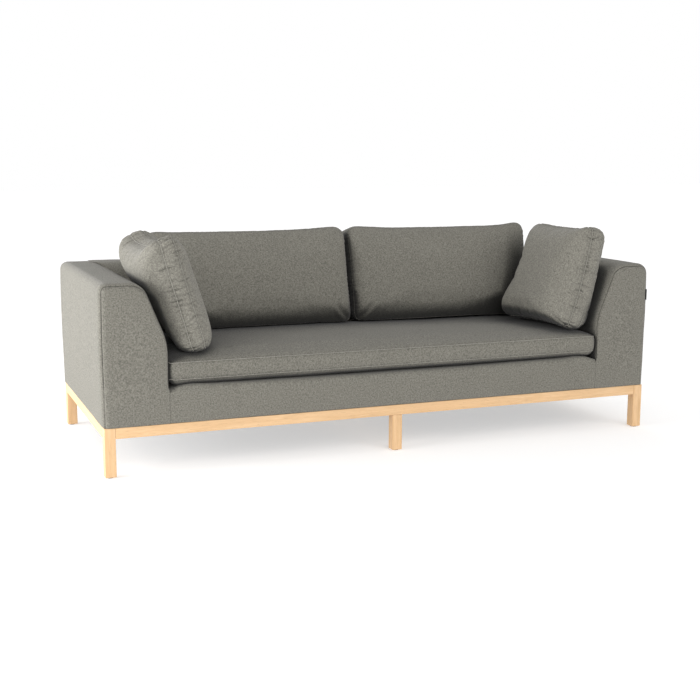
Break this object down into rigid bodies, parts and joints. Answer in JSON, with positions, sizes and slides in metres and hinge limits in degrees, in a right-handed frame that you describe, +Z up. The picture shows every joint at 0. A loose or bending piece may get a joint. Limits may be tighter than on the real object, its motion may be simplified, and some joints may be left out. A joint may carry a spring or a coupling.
{
  "type": "three-seater sofa",
  "caption": "Low upholstered sofa on a pale square-section timber base, with sloping inner arms, a long seat cushion and loose back and throw cushions.",
  "frame": {"origin": "on the floor under the middle of the sofa: the bottom centre of its bounding box", "axes": "+X along the width, to the right as seen from the front; -Y is the front, where people sit down; +Z up"},
  "size_m": [2.28, 0.94, 0.8331],
  "materials": {
    "oak": "satin",
    "carcass_pine": "matte",
    "cover_cloth": "matte",
    "foam": "matte",
    "cushion_filling": "matte",
    "webbing": "matte",
    "dust_cloth": "matte",
    "glide_plastic": "matte",
    "zip_plastic": "satin",
    "tag_cloth": "matte"
  },
  "bodies": {
    "sofa_body": {"front_rail": "oak", "front_left_leg": "oak", "front_left_glide": "glide_plastic", "front_left_corner_block": "carcass_pine", "front_right_leg": "oak", "front_right_glide": "glide_plastic", "front_right_corner_block": "carcass_pine", "front_centre_leg": "oak", "front_centre_glide": "glide_plastic", "rear_rail": "oak", "rear_left_leg": "oak", "rear_left_glide": "glide_plastic", "rear_left_corner_block": "carcass_pine", "rear_right_leg": "oak", "rear_right_glide": "glide_plastic", "rear_right_corner_block": "carcass_pine", "rear_centre_leg": "oak", "rear_centre_glide": "glide_plastic", "left_side_rail": "oak", "right_side_rail": "oak", "cross_rail": "carcass_pine", "dust_sheet": "dust_cloth", "left_arm_frame": "carcass_pine", "left_arm_foam": "foam", "left_arm_cover": "cover_cloth", "right_arm_frame": "carcass_pine", "right_arm_foam": "foam", "right_arm_cover": "cover_cloth", "back_frame": "carcass_pine", "back_foam": "foam", "back_cover": "cover_cloth", "seat_cover": "cover_cloth", "seat_pad": "foam", "seat_front_board": "carcass_pine", "seat_rear_board": "carcass_pine", "seat_left_board": "carcass_pine", "seat_right_board": "carcass_pine", "seat_webbing_1": "webbing", "seat_webbing_2": "webbing", "seat_webbing_3": "webbing", "seat_webbing_4": "webbing", "seat_webbing_5": "webbing", "side_tag": "tag_cloth"},
    "seat_cushion": {"seat_cushion_cover": "cover_cloth", "seat_cushion_core": "cushion_filling", "seat_cushion_zip": "zip_plastic"},
    "left_back_cushion": {"left_back_cushion_cover": "cover_cloth", "left_back_cushion_core": "cushion_filling", "left_back_cushion_zip": "zip_plastic"},
    "right_back_cushion": {"right_back_cushion_cover": "cover_cloth", "right_back_cushion_core": "cushion_filling", "right_back_cushion_zip": "zip_plastic"},
    "left_throw_cushion": {"left_throw_cushion_cover": "cover_cloth", "left_throw_cushion_core": "cushion_filling", "left_throw_cushion_zip": "zip_plastic"},
    "right_throw_cushion": {"right_throw_cushion_cover": "cover_cloth", "right_throw_cushion_core": "cushion_filling", "right_throw_cushion_zip": "zip_plastic"}
  },
  "joints": [
    {"name": "seat_cushion_lift", "type": "slide", "parent": "sofa_body", "child": "seat_cushion", "axis": [0, 0, 1], "range_m": [0, 0.4]},
    {"name": "left_back_cushion_lift", "type": "slide", "parent": "seat_cushion", "child": "left_back_cushion", "axis": [0, 0, 1], "range_m": [0, 0.26]},
    {"name": "right_back_cushion_lift", "type": "slide", "parent": "seat_cushion", "child": "right_back_cushion", "axis": [0, 0, 1], "range_m": [0, 0.26]},
    {"name": "left_throw_cushion_lift", "type": "slide", "parent": "seat_cushion", "child": "left_throw_cushion", "axis": [0, 0, 1], "range_m": [0, 0.28]},
    {"name": "right_throw_cushion_lift", "type": "slide", "parent": "seat_cushion", "child": "right_throw_cushion", "axis": [0, 0, 1], "range_m": [0, 0.28]}
  ]
}
